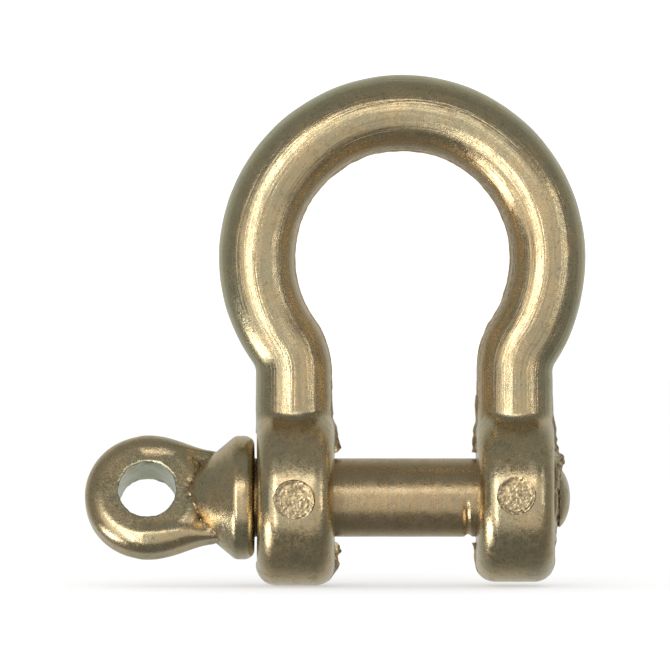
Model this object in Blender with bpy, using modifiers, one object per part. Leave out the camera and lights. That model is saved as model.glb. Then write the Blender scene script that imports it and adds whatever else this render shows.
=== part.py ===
"""Bow shackle with a screw pin, cast in bronze, for 10 mm tackle.

The bow is one casting: a round rod bent into a circle that narrows through two reverse bends
into straight legs, each ending in a thick round ear.  The left ear has a plain hole and the
right ear a threaded one.  The pin has a lanyard eye, a seating collar, a plain shank and a
threaded end.  In this model the pin is three solids with a hairline between them, so that
its thread can turn while its shank only travels.

Frame: metres, +X along the pin from its eye to its thread, +Z up to the crown of the bow,
origin on the inside of the crown, where a ring or hook bears.
"""

from math import asin, atan2, cos, degrees, pi, radians, sin, tan

import bmesh
import bpy
from mathutils import Matrix, Vector

MM = 0.001

# Driving dimensions, in millimetres
PIN_DIAMETER = 10.0
THREAD_PITCH = 1.5
ROD_DIAMETER = 9.6
INSIDE_LENGTH = 39.3  # from the pin's upper side to the inside of the crown
INSIDE_WIDTH = 27.5  # across the inside of the circle
JAW_WIDTH = 18.0  # between the two spot-faced ears
EAR_RADIUS = 11.2
EAR_THICKNESS = 9.95  # over the spot faces
REVERSE_BEND_RADIUS = 7.0  # of the rod's centreline
LEG_END = 2.0  # where the rod stops inside the ear, above the pin's axis
EYE_RADIUS = 8.0
EYE_HOLE_DIAMETER = 7.4
EYE_THICKNESS = 6.0
EYE_TURN_DEG = 21.0  # how far past vertical the eye stands with the pin screwed home
COLLAR_DIAMETER = 15.8
NECK_DIAMETER = 12.0

# Details and clearances, in millimetres
SEATING_GAP = 0.3  # between pieces that touch
HOLE_CLEARANCE = 0.3  # of the plain hole around the shank, on the radius
CROWN_OF_EAR = 0.13  # how far each drafted face stands above its spot face at the parting plane
EAR_DRAFT_DEG = 1.8
EAR_EDGE_RADIUS = 2.6
SPOT_FACE_RADIUS = 6.1
RECESS_RADIUS = 2.5
RECESS_DEPTH = 0.3
COLLAR_THICKNESS = 2.8
COLLAR_EDGE = 1.1
CONE_LENGTH = 3.4
NECK_END = 3.3  # length of the neck past the cone, buried in the eye
NECK_EDGE = 1.5
EYE_FROM_COLLAR = 13.6  # from the collar's seat to the centre of the eye
EYE_EDGE_RADIUS = 2.0
SHANK_END_X = 7.4  # where the thread begins
PIN_END_X = 21.0
THREAD_CHAMFER = 0.9
DOME_HEIGHT = 1.6
DOME_SHOULDER = 0.3  # how much narrower the dome is than the bottom of the thread
THREAD_FLANK_CLEARANCE = 0.14
THREAD_ROOT_CLEARANCE = 0.15
THREAD_HOLE_CLEARANCE = 0.23  # of the tapping hole around the bottom of the pin's groove

# Sizes of the tools that cut, in millimetres
CUTTER_DISC = 2.0
DRILL_LENGTH = 16.0
COIL_OVERLAP = 0.1  # how far a thread-cutting coil reaches past the surface it cuts
COIL_TURNS = 10

# Smoothness
ROD_BEVEL_RESOLUTION = 10
ROD_SIDES = 24  # what that resolution gives
PATH_STEP_DEG = 7.5
ROUND_STEPS = 48
THREAD_STEPS = 24  # facets in one turn of the thread
EDGE_SEGMENTS = 4
HALF_FACET = pi / ROUND_STEPS  # turns a round tool so that its edges miss the edges it cuts

# Worked-out places
PIN_RADIUS = PIN_DIAMETER / 2
ROD_RADIUS = ROD_DIAMETER / 2
PIN_Z = -(INSIDE_LENGTH + PIN_RADIUS)
BOW_RADIUS = INSIDE_WIDTH / 2 + ROD_RADIUS  # of the rod's centreline
BOW_CENTRE_Z = ROD_RADIUS - BOW_RADIUS
EAR_X = (JAW_WIDTH + EAR_THICKNESS) / 2
COLLAR_SEAT_X = -(EAR_X + EAR_THICKNESS / 2 + SEATING_GAP)
EYE_X = COLLAR_SEAT_X - EYE_FROM_COLLAR

# The 60 degree thread: its pitch radius, its bottom radius and the half width of its groove
THREAD_SLOPE = tan(radians(30))
THREAD_PITCH_RADIUS = PIN_RADIUS - 0.3248 * THREAD_PITCH
THREAD_BOTTOM_RADIUS = PIN_RADIUS - 0.6134 * THREAD_PITCH
THREAD_HOLE_RADIUS = THREAD_BOTTOM_RADIUS + THREAD_HOLE_CLEARANCE


def clear_scene():
    for old in list(bpy.data.objects):
        bpy.data.objects.remove(old, do_unlink=True)


def new_collection(name):
    collection = bpy.data.collections.new(name)
    bpy.context.scene.collection.children.link(collection)
    return collection


def bronze(name, colour, roughness):
    """A Principled material for one of the bronze finishes."""
    material = bpy.data.materials.new(name)
    material.use_nodes = True
    shader = material.node_tree.nodes["Principled BSDF"]
    shader.inputs["Base Color"].default_value = (*colour, 1.0)
    shader.inputs["Metallic"].default_value = 1.0
    shader.inputs["Roughness"].default_value = roughness
    return material


def object_from_bmesh(name, bm, collection):
    mesh = bpy.data.meshes.new(name)
    bm.to_mesh(mesh)
    bm.free()
    obj = bpy.data.objects.new(name, mesh)
    collection.objects.link(obj)
    return obj


def smooth(obj, angle_deg=35):
    obj.data.shade_smooth()
    obj.data.set_sharp_from_angle(angle=radians(angle_deg))


def hide_tool(obj):
    """Mark a solid that only joins or cuts another."""
    obj.hide_render = True
    obj.display_type = "WIRE"


def boolean(target, tool, operation):
    modifier = target.modifiers.new(f"{operation.lower()}_{tool.name}", "BOOLEAN")
    modifier.object = tool
    modifier.operation = operation
    modifier.solver = "EXACT"


def bevel(obj, width, segments, angle_deg=40):
    modifier = obj.modifiers.new("rounded_edges", "BEVEL")
    modifier.width = width * MM
    modifier.segments = segments
    modifier.limit_method = "ANGLE"
    modifier.angle_limit = radians(angle_deg)


def cylinder(name, radius, length, collection, segments=ROUND_STEPS, turn=0.0):
    """A plain cylinder about its own Z axis, centred on its origin, its facets turned by turn."""
    bm = bmesh.new()
    bmesh.ops.create_cone(
        bm,
        cap_ends=True,
        segments=segments,
        radius1=radius * MM,
        radius2=radius * MM,
        depth=length * MM,
        matrix=Matrix.Rotation(turn, 4, "Z"),
    )
    return object_from_bmesh(name, bm, collection)


def lay_along_x(obj, x, z=PIN_Z):
    """Turn an object's own Z axis to +X and put its origin at (x, 0, z)."""
    obj.rotation_euler = (0, pi / 2, 0)
    obj.location = (x * MM, 0, z * MM)
    return obj


def turned(name, profile, collection):
    """A solid turned about its own Z axis from (radius, height) points, top to bottom."""
    mesh = bpy.data.meshes.new(name)
    points = [(radius * MM, 0, height * MM) for radius, height in profile]
    mesh.from_pydata(points, [(i, i + 1) for i in range(len(points) - 1)], [])
    obj = bpy.data.objects.new(name, mesh)
    collection.objects.link(obj)
    screw = obj.modifiers.new("turn", "SCREW")
    screw.axis = "Z"
    screw.steps = ROUND_STEPS
    screw.render_steps = ROUND_STEPS
    screw.use_merge_vertices = True
    screw.merge_threshold = 0.00001
    screw.use_smooth_shade = True
    return obj


def arc(centre, radius, start_deg, end_deg, step_deg):
    """Points along an arc, both ends included, as (across, up) pairs."""
    count = max(1, round(abs(end_deg - start_deg) / step_deg))
    angles = [radians(start_deg + (end_deg - start_deg) * i / count) for i in range(count + 1)]
    return [(centre[0] + radius * cos(a), centre[1] + radius * sin(a)) for a in angles]


def bow_path():
    """The rod's centreline from the left ear over the crown to the right ear.

    The circle and each reverse bend touch where the line between their centres crosses
    both, and a leg drops straight from the other end of its reverse bend.
    """
    bend_x = EAR_X + REVERSE_BEND_RADIUS
    drop = (BOW_RADIUS + REVERSE_BEND_RADIUS) ** 2 - bend_x**2
    bend_z = BOW_CENTRE_Z - drop**0.5
    touch_deg = degrees(atan2(bend_z - BOW_CENTRE_Z, bend_x))
    crown = arc((0, BOW_CENTRE_Z), BOW_RADIUS, 90, touch_deg, PATH_STEP_DEG)
    bend = arc((bend_x, bend_z), REVERSE_BEND_RADIUS, 180 + touch_deg, 180, PATH_STEP_DEG)
    right = crown + bend[1:] + [(EAR_X, PIN_Z + LEG_END)]
    left = [(-x, z) for x, z in reversed(right[1:])]
    return left + right


def rod(collection):
    """The round rod of the bow: a curve with a bevel, made a mesh so that it can be joined."""
    curve = bpy.data.curves.new("rod_curve", "CURVE")
    curve.dimensions = "3D"
    curve.bevel_depth = ROD_RADIUS * MM
    curve.bevel_resolution = ROD_BEVEL_RESOLUTION
    curve.use_fill_caps = True
    path = bow_path()
    spline = curve.splines.new("POLY")
    spline.points.add(len(path) - 1)
    for point, (x, z) in zip(spline.points, path):
        point.co = (x * MM, 0, z * MM, 1)
        point.tilt = pi / ROD_SIDES
    guide = bpy.data.objects.new("rod_guide", curve)
    collection.objects.link(guide)
    evaluated = guide.evaluated_get(bpy.context.evaluated_depsgraph_get())
    mesh = bpy.data.meshes.new_from_object(evaluated)
    bm = bmesh.new()
    bm.from_mesh(mesh)
    bmesh.ops.remove_doubles(bm, verts=bm.verts, dist=0.00001)
    bm.to_mesh(mesh)
    bm.free()
    obj = bpy.data.objects.new("bow", mesh)
    obj.matrix_world = guide.matrix_world
    collection.objects.link(obj)
    bpy.data.objects.remove(guide, do_unlink=True)
    bpy.data.curves.remove(curve)
    return obj


def ear(name, x, collection):
    """A thick round ear about the pin's axis, thinner towards its front and back by its draft."""
    thickness = EAR_THICKNESS + 2 * CROWN_OF_EAR
    obj = cylinder(name, EAR_RADIUS, thickness, collection)
    bm = bmesh.new()
    bm.from_mesh(obj.data)
    everything = bm.verts[:] + bm.edges[:] + bm.faces[:]
    bmesh.ops.bisect_plane(bm, geom=everything, plane_co=(0, 0, 0), plane_no=(0, 1, 0), dist=1e-7)
    for vert in bm.verts:
        inward = tan(radians(EAR_DRAFT_DEG)) * abs(vert.co.y)
        vert.co.z -= inward if vert.co.z > 0 else -inward
    bm.to_mesh(obj.data)
    bm.free()
    bevel(obj, EAR_EDGE_RADIUS, EDGE_SEGMENTS)
    lay_along_x(obj, x)
    return obj


def thread_coil(name, inner, outer, half_width, turns, collection):
    """A right-hand coil about its own Z axis whose section is a band from inner to outer radius.

    half_width gives half the band's width at a radius.  The section is a face, spun about
    the axis while it climbs one pitch a turn, so the coil is closed at both ends.
    """
    corners = [
        (inner, -half_width(inner)),
        (outer, -half_width(outer)),
        (outer, half_width(outer)),
        (inner, half_width(inner)),
    ]
    bm = bmesh.new()
    start = Matrix.Rotation(HALF_FACET, 3, "Z")
    places = [Vector((radius * MM, 0, height * MM)) for radius, height in corners]
    verts = [bm.verts.new(start @ place) for place in places]
    face = bm.faces.new(verts)
    steps = round(turns * THREAD_STEPS)
    bmesh.ops.spin(
        bm,
        geom=[face] + face.edges[:] + face.verts[:],
        cent=(0, 0, 0),
        axis=(0, 0, 1),
        dvec=(0, 0, THREAD_PITCH * MM / THREAD_STEPS),
        angle=2 * pi * steps / THREAD_STEPS,
        steps=steps,
        use_duplicate=False,
    )
    bmesh.ops.recalc_face_normals(bm, faces=bm.faces)
    return object_from_bmesh(name, bm, collection)


def pin_groove_half_width(radius):
    """Half the width of the pin's thread groove at a radius."""
    return THREAD_PITCH / 4 + (radius - THREAD_PITCH_RADIUS) * THREAD_SLOPE


def ear_groove_half_width(radius):
    """Half the width of the ear's thread groove, which clears the pin's thread on both flanks."""
    shared = THREAD_PITCH / 4 - (radius - THREAD_PITCH_RADIUS) * THREAD_SLOPE
    return shared + THREAD_FLANK_CLEARANCE


def make_bow(parts, tools):
    """Rod and ears joined, then drilled, tapped, spot-faced and marked."""
    bow = rod(parts)
    for side, x in (("left", -EAR_X), ("right", EAR_X)):
        solid = ear(f"{side}_ear_solid", x, tools)
        hide_tool(solid)
        boolean(bow, solid, "UNION")

    cuts = []
    # Each spot face is cut by a short disc that starts at the face and ends past the ear's crown.
    for ear_name, ear_x in (("left", -EAR_X), ("right", EAR_X)):
        for face_name, side in (("outer", -1), ("inner", 1)):
            name = f"{ear_name}_{face_name}_spot_facer"
            cutter = cylinder(name, SPOT_FACE_RADIUS, CUTTER_DISC, tools, turn=HALF_FACET)
            outward = side if ear_name == "left" else -side
            face_x = ear_x + outward * (EAR_THICKNESS + CUTTER_DISC) / 2
            cuts.append(lay_along_x(cutter, face_x))
    for name, radius, x in (
        ("plain_hole", PIN_RADIUS + HOLE_CLEARANCE, -EAR_X),
        ("tapping_hole", THREAD_HOLE_RADIUS, EAR_X),
    ):
        cuts.append(lay_along_x(cylinder(name, radius, DRILL_LENGTH, tools), x))
    # A shallow round recess in the front of each ear.
    for side, x in (("left", -EAR_X), ("right", EAR_X)):
        cutter = cylinder(f"{side}_recess", RECESS_RADIUS, CUTTER_DISC, tools, segments=24)
        recess_y = -(EAR_RADIUS - RECESS_DEPTH + CUTTER_DISC / 2)
        cutter.rotation_euler = (pi / 2, 0, 0)
        cutter.location = (x * MM, recess_y * MM, PIN_Z * MM)
        cuts.append(cutter)
    tap = thread_coil(
        "tap",
        THREAD_HOLE_RADIUS - COIL_OVERLAP,
        PIN_RADIUS + THREAD_ROOT_CLEARANCE,
        ear_groove_half_width,
        COIL_TURNS,
        tools,
    )
    cuts.append(lay_along_x(tap, SHANK_END_X - THREAD_PITCH / 2))
    for cutter in cuts:
        hide_tool(cutter)
        boolean(bow, cutter, "DIFFERENCE")
    return bow


def make_head(parts, tools):
    """The pin's eye, neck and collar."""
    seat = COLLAR_SEAT_X - EYE_X
    collar = COLLAR_DIAMETER / 2
    neck = NECK_DIAMETER / 2
    cone_top = seat - COLLAR_THICKNESS
    neck_top = cone_top - CONE_LENGTH
    neck_end = neck_top - NECK_END
    collar_edge = arc((collar - COLLAR_EDGE, seat - COLLAR_EDGE), COLLAR_EDGE, 90, 0, 30)
    neck_edge = arc((neck - NECK_EDGE, neck_end + NECK_EDGE), NECK_EDGE, 0, -90, 30)
    profile = [(0, seat), *collar_edge, (collar, cone_top), (neck, neck_top), *neck_edge]
    profile.append((0, neck_end))
    head = turned("pin_head", profile, parts)
    lay_along_x(head, EYE_X)

    ring = cylinder("eye_solid", EYE_RADIUS, EYE_THICKNESS, tools)
    bevel(ring, EYE_EDGE_RADIUS, EDGE_SEGMENTS)
    hole = cylinder("eye_hole", EYE_HOLE_DIAMETER / 2, DRILL_LENGTH, tools, segments=32)
    for tool, operation in ((ring, "UNION"), (hole, "DIFFERENCE")):
        tool.rotation_euler = (pi / 2 - radians(EYE_TURN_DEG), 0, 0)
        tool.location = (EYE_X * MM, 0, PIN_Z * MM)
        hide_tool(tool)
        boolean(head, tool, operation)
    return head


def make_shank(parts):
    """The plain part of the pin, from the collar's seat to the thread."""
    start = COLLAR_SEAT_X + SEATING_GAP
    shank = cylinder("pin_shank", PIN_RADIUS, SHANK_END_X - start, parts)
    return lay_along_x(shank, (start + SHANK_END_X) / 2)


def make_thread(parts, tools):
    """The threaded end of the pin: a blank with a domed end, cut by a helical groove."""
    start = SHANK_END_X + SEATING_GAP
    dome_base = PIN_END_X - DOME_HEIGHT
    dome_chord = THREAD_BOTTOM_RADIUS - DOME_SHOULDER
    sphere = (dome_chord**2 + DOME_HEIGHT**2) / (2 * DOME_HEIGHT)
    half_angle = degrees(asin(dome_chord / sphere))
    dome = arc((0, PIN_END_X - sphere), sphere, 90, 90 - half_angle, half_angle / 5)
    chamfer_start = dome_base - THREAD_CHAMFER
    profile = [(max(0.0, r), h) for r, h in dome]
    profile += [(PIN_RADIUS, chamfer_start), (PIN_RADIUS, start), (0, start)]
    blank = turned("pin_thread", profile, parts)
    lay_along_x(blank, 0)
    die = thread_coil(
        "die",
        THREAD_BOTTOM_RADIUS,
        PIN_RADIUS + COIL_OVERLAP,
        pin_groove_half_width,
        COIL_TURNS,
        tools,
    )
    lay_along_x(die, SHANK_END_X)
    hide_tool(die)
    boolean(blank, die, "DIFFERENCE")
    return blank


def main():
    clear_scene()
    parts = new_collection("bow_shackle")
    tools = new_collection("cutters")

    cast = bronze("cast_bronze", (0.52, 0.40, 0.20), 0.34)
    machined = bronze("machined_bronze", (0.56, 0.42, 0.23), 0.30)

    bow = make_bow(parts, tools)
    head = make_head(parts, tools)
    shank = make_shank(parts)
    thread = make_thread(parts, tools)
    for obj, material in ((bow, cast), (head, cast), (shank, machined), (thread, machined)):
        obj.data.materials.append(material)
        smooth(obj)


main()
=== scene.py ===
"""A cast bronze bow shackle with a screw pin: its skin, its finishes, the light and the camera.

Each of the two pieces is one skin laid over a guide line.  Rays stand square on the line, and the
skin is where a ray leaves the metal.  The metal is described by a distance: below zero inside and
above zero in the air.  Shapes that a founder would join with a fillet are joined by a rounded
minimum of their distances, and holes, spot faces and marks are cut afterwards.  The pin's turned
part is a profile carried round its axis.

The frame is the CAD model's: +X along the pin from its eye to its thread, +Z up to the crown, -Y
towards the viewer.  Lengths in this script are millimetres until a mesh is made.
"""

import bmesh
import bpy
import numpy as np
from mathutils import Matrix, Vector


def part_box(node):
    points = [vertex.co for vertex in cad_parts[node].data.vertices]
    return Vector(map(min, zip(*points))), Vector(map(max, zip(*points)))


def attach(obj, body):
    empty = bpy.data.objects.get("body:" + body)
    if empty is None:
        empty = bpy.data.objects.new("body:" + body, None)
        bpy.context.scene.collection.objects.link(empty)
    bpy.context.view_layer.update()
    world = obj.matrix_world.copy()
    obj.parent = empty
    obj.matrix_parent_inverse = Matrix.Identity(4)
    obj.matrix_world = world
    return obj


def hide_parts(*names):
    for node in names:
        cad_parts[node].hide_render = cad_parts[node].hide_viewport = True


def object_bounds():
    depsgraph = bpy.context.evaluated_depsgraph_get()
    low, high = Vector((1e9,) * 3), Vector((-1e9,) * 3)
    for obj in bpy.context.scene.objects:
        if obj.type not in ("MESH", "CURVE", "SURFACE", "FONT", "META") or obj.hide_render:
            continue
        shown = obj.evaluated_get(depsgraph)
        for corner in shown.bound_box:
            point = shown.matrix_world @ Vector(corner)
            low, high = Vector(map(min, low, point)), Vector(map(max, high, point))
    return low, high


MM = 0.001
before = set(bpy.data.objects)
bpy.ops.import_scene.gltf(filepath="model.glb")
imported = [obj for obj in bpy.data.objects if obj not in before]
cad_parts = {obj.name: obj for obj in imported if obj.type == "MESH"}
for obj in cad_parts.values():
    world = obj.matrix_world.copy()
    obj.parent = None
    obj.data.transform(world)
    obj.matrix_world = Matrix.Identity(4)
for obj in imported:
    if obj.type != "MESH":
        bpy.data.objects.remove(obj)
cad_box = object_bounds()


def node_box(name):
    """The lowest and highest corner of a CAD node, in millimetres."""
    low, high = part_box(name)
    return np.array(low) / MM, np.array(high) / MM


# Sizes read from the CAD solids
BOW_LOW, _ = node_box("bow")
SHANK_LOW, SHANK_HIGH = node_box("pin_shank")
HEAD_LOW, HEAD_HIGH = node_box("pin_head")
_, THREAD_HIGH = node_box("pin_thread")
PIN_Z = (SHANK_LOW[2] + SHANK_HIGH[2]) / 2
PIN_RADIUS = (SHANK_HIGH[2] - SHANK_LOW[2]) / 2
PIN_END = THREAD_HIGH[0]
THREAD_START = SHANK_HIGH[0]
COLLAR_SEAT = HEAD_HIGH[0]
EYE_END = HEAD_LOW[0]

# The bow.  Its two sides are -1 on the left, at the eye, and 1 on the right, at the thread.
ROD_RADIUS = 4.8
BOW_RADIUS = 18.55  # of the rod's centreline round the crown
BOW_CENTRE_Z = ROD_RADIUS - BOW_RADIUS
REVERSE_BEND = 7.0
EAR_X = 13.975  # of the middle of each ear
EAR_HALF = 5.02
EAR_RADII = {-1: 11.2, 1: 10.9}
EAR_RISE = {-1: 0.0, 1: 0.15}  # of the ears' centres over the pin's axis
EAR_EDGE = 2.6
EAR_DRAFT = np.tan(np.radians(1.8))
EAR_SEAM = 2.45  # half the flat of the ear's rim
LEG_FOOT = 14.0  # height over the pin where the leg begins to widen into its ear
CROWN_LEAN = 0.4  # how far the casting's circle stands to the left of its jaw
LEG_LEAN = 0.25  # the same for its left leg
LEAN_RISE = 14.0  # the height over which the circle's lean comes in
JAW_FACE = 9.0
OUTER_FACE = 18.95
JAW_SPOT_RADIUS = 5.75
OUTER_SPOT_RADIUS = 8.2
CLEARANCE = 0.14  # between the pin and its holes, on the radius
BOW_RAYS = 176  # round each ring of its skin
ROD_SPREAD = 5.0  # half the ellipse, in the bow's plane, that its rays are spread on

# The reverse bend's centre, the crown's angle where the bend starts, and the bend's lower end
# measured along the rod from the level of the crown's centre
BEND_X = EAR_X + REVERSE_BEND
BEND_Z = BOW_CENTRE_Z - ((BOW_RADIUS + REVERSE_BEND) ** 2 - BEND_X**2) ** 0.5
BEND_ANGLE = np.arctan2(BEND_Z - BOW_CENTRE_Z, BEND_X)
BEND_START = (BOW_RADIUS + REVERSE_BEND) * BEND_ANGLE

# The flash on the parting line, as (height over the pin, how proud it stands) points
FLASH_LEFT_INSIDE = (
    (-11, 0.1), (-9.5, 0.4), (-8, 1.1), (-5.4, 1.4), (5.6, 1.2),
    (6.4, 1.2), (7.8, 0.5), (11, 0.3), (13, 0.14),
)
FLASH_RIGHT_INSIDE = ((-11, 0.1), (-8, 0.3), (-5.2, 0.6), (5.6, 0.55), (12, 0.4), (14, 0.14))
FLASH_LEFT_OUTSIDE = ((-11, 0.08), (6, 0.16), (12, 0.06))
FLASH_RIGHT_OUTSIDE = (
    (-11, 0.06), (-6.5, 0.25), (-5.1, 0.6), (-4.7, 0), (3.8, 0),
    (4.3, 1.6), (5.6, 0.8), (8, 0.45), (12, 0.1),
)
FLASH_TRIMMED_ABOVE = 13.0
TRIMMED_INSIDE = 0.16
TRIMMED_OUTSIDE = 0.03
BURR_RADIUS = 6.3  # of the rough ring round the tapped hole's mouth

# The round marks on the ears: each one's side, x, height over the pin, radius and tilt
MARKS = ((-1, -14.2, -0.15, 2.54, 0.15), (1, 13.85, 0.55, 2.34, 0.04))
MARK_DEPTH = 0.42
MARK_DISH = 0.2  # how far the floor curls up towards its wall
MARK_SEED = 20
WALL_RISE = 2.4  # of the marks' sloping walls, which end well outside the ear
WALL_SLOPE = 0.65

# The pin
EYE_RADIUS = 8.0
EYE_CENTRE_X = EYE_END + EYE_RADIUS
EYE_HALF = 3.05
EYE_EDGE = 2.3
EYE_TURN = np.radians(23.0)
EYE_HOLE = 3.7
PIN_RAYS = 192  # round each ring of its skin
EYE_SPREAD = 3.3  # half the ellipse, through the eye, that its rays are spread on
WEB_HALF_WIDTH = 6.0
WEB_HALF = 1.8
HEAD_END = COLLAR_SEAT - 3.2  # where the head's rays give way to turned rings
COLLAR_RADIUS = 7.87
COLLAR_ROUND = 1.4  # along the pin; a little less across it
COLLAR_DROP = 1.15
RIM_X = COLLAR_SEAT - 2.45  # where the cone meets the collar's rim
CONE_SLOPE = 0.83
CONE_COSINE = 0.77  # turns a height over the cone into a distance from it
THREAD_PITCH = 1.5
THREAD_DEPTH = 0.9
THREAD_RUN_OUT = 0.6
TAP_MINOR_RADIUS = 4.32
TAP_MOUTH_RADIUS = 4.2  # of the tapped hole where the burr closes round it
TIP_LENGTH = 3.0  # of the end that was turned down past the thread
TIP_DEPTH = 1.25
DOME_HEIGHT = 1.4
DOME_RADIUS = 3.85
DOME_ANGLE = np.radians(68.0)


# Numbers and noise


def smooth_step(t):
    """Rises from 0 to 1 as t goes from 0 to 1, flat at both ends."""
    t = np.clip(t, 0.0, 1.0)
    return t * t * (3.0 - 2.0 * t)


def lattice(ix, iy, iz, seed):
    """A fixed number from -1 to 1 for each whole lattice point, from its scrambled coordinates."""
    n = (ix * 73856093) ^ (iy * 19349663) ^ (iz * 83492791) ^ (seed * 265443577)
    n = (n ^ (n >> 13)) * 1274126177
    n = (n ^ (n >> 16)) & 0xFFFFFF
    return n / 8388607.5 - 1.0


def noise(points, size, seed):
    """Lattice numbers blended smoothly between the corners of cubes of that size."""
    scaled = np.asarray(points) / size
    base = np.floor(scaled).astype(np.int64)
    part = smooth_step(scaled - base)
    total = 0.0
    for corner in range(8):
        step = np.array([corner & 1, corner >> 1 & 1, corner >> 2 & 1])
        share = np.where(step == 1, part, 1.0 - part).prod(-1)
        cell = base + step
        total = total + share * lattice(cell[..., 0], cell[..., 1], cell[..., 2], seed)
    return total


def rounded_min(a, b, reach):
    """The lower of two distances, eased into a fillet where they differ by less than reach."""
    share = np.clip(0.5 + 0.5 * (b - a) / reach, 0.0, 1.0)
    return b * (1 - share) + a * share - reach * share * (1 - share)


def rounded_slab(across, along, radius, half, edge):
    """Distance to a disc of a radius and half thickness whose rim is rounded by edge."""
    a = across - (radius - edge)
    b = np.abs(along) - (half - edge)
    outside = np.hypot(np.maximum(a, 0.0), np.maximum(b, 0.0))
    return outside + np.minimum(np.maximum(a, b), 0.0) - edge


def skin(field, centres, directions, reach):
    """How far along each ray the field turns positive, by halving the stretch that holds it."""
    near = np.zeros(directions.shape[:-1])
    far = np.full(directions.shape[:-1], float(reach))
    for _ in range(20):
        middle = (near + far) / 2
        inside = field(centres + directions * middle[..., None]) < 0
        near = np.where(inside, middle, near)
        far = np.where(inside, far, middle)
    return (near + far) / 2


# Meshes


def ring_mesh(name, rings, weld=0.0015):
    """A closed skin over a grid of rings: each ring joins the next, and the end rings are welded.

    Points closer than weld, in millimetres, become one.
    """
    count, sides = rings.shape[:2]
    i, j = np.meshgrid(np.arange(count - 1), np.arange(sides), indexing="ij")
    k = (j + 1) % sides
    quads = np.stack([i * sides + j, i * sides + k, (i + 1) * sides + k, (i + 1) * sides + j], -1)
    quads = quads.reshape(-1, 4)
    verts = rings.reshape(-1, 3) * MM
    corners = verts[quads]
    fan = np.cross(corners[:, 2] - corners[:, 0], corners[:, 3] - corners[:, 1])
    if (corners.mean(1) * fan).sum() < 0:
        quads = quads[:, ::-1]
    mesh = bpy.data.meshes.new(name)
    mesh.from_pydata(verts, [], quads)
    bm = bmesh.new()
    bm.from_mesh(mesh)
    bmesh.ops.remove_doubles(bm, verts=bm.verts, dist=weld * MM)
    bm.to_mesh(mesh)
    bm.free()
    obj = bpy.data.objects.new(name, mesh)
    bpy.context.scene.collection.objects.link(obj)
    return obj


def capped(rings):
    """The same rings with each end closed by a ring shrunk to its own middle."""
    first = np.broadcast_to(rings[0].mean(0), rings[0].shape)
    last = np.broadcast_to(rings[-1].mean(0), rings[-1].shape)
    return np.concatenate([first[None], rings, last[None]])


def turned(name, profile, origin, axis, sides=96):
    """A turned cutter: (distance along the axis, radius) points carried round the axis.

    It starts at a slant, so that its corners keep clear of the piece's own.
    """
    axis = np.asarray(axis, float) / np.linalg.norm(axis)
    side = np.cross(axis, (0.31, 0.59, 0.74))
    side /= np.linalg.norm(side)
    other = np.cross(axis, side)
    angle = np.linspace(0, 2 * np.pi, sides, endpoint=False) + 0.013
    profile = np.asarray(profile, float)
    round_ = np.cos(angle)[:, None] * side + np.sin(angle)[:, None] * other
    rings = np.asarray(origin) + profile[:, 0, None, None] * axis + profile[:, 1, None, None] * round_
    return ring_mesh(name, capped(rings))


def cut(piece, cutters):
    """Take each cutter's solid out of the piece, for good."""
    for cutter in cutters:
        modifier = piece.modifiers.new(cutter.name, "BOOLEAN")
        modifier.object = cutter
        modifier.operation = "DIFFERENCE"
        modifier.solver = "MANIFOLD"
    evaluated = piece.evaluated_get(bpy.context.evaluated_depsgraph_get())
    mesh = bpy.data.meshes.new_from_object(evaluated)
    piece.modifiers.clear()
    old = piece.data
    piece.data = mesh
    bpy.data.meshes.remove(old)
    mesh.name = piece.name
    for cutter in cutters:
        bpy.data.objects.remove(cutter, do_unlink=True)


def note_relief(piece, rounds):
    """Store on each point how far it stands proud of its eased neighbourhood, in millimetres.

    The neighbourhood is eased by moving every point to the mean of its neighbours, over and over.
    Worn edges read above zero and hollows below.
    """
    mesh = piece.data
    count = len(mesh.vertices)
    points = np.empty(count * 3)
    mesh.vertices.foreach_get("co", points)
    points = points.reshape(-1, 3) / MM
    normals = np.empty(count * 3)
    mesh.vertices.foreach_get("normal", normals)
    edges = np.empty(len(mesh.edges) * 2, np.int32)
    mesh.edges.foreach_get("vertices", edges)
    edges = edges.reshape(-1, 2)
    ends = np.concatenate([edges[:, 0], edges[:, 1]])
    others = np.concatenate([edges[:, 1], edges[:, 0]])
    degree = np.maximum(np.bincount(ends, minlength=count), 1)
    eased = points
    for _ in range(rounds):
        sums = [np.bincount(ends, weights=eased[others, k], minlength=count) for k in range(3)]
        eased = (eased + np.stack(sums, -1) / degree[:, None]) / 2
    relief = ((points - eased) * normals.reshape(-1, 3)).sum(-1)
    attribute = mesh.attributes.new("relief", "FLOAT", "POINT")
    attribute.data.foreach_set("value", relief.astype(np.float32))


def note_shares(piece, shares):
    """Store named values on each point; each is a function of the points in millimetres.

    A function gives one number for each point, or three.
    """
    mesh = piece.data
    points = np.empty(len(mesh.vertices) * 3)
    mesh.vertices.foreach_get("co", points)
    points = points.reshape(-1, 3) / MM
    for name, share in shares.items():
        values = share(points).astype(np.float32)
        kind, field = ("FLOAT", "value") if values.ndim == 1 else ("FLOAT_VECTOR", "vector")
        mesh.attributes.new(name, kind, "POINT").data.foreach_set(field, values.ravel())


def finish_piece(piece, body, nodes, material, shares, crease_deg=38):
    """Smooth shading, the finish, and the CAD body and nodes that the piece goes with."""
    piece.data.shade_smooth()
    piece.data.set_sharp_from_angle(angle=np.radians(crease_deg))
    note_relief(piece, rounds=14)
    note_shares(piece, shares)
    piece.data.materials.clear()
    piece.data.materials.append(material)
    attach(piece, body)
    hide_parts(*nodes)


# The bow


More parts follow.
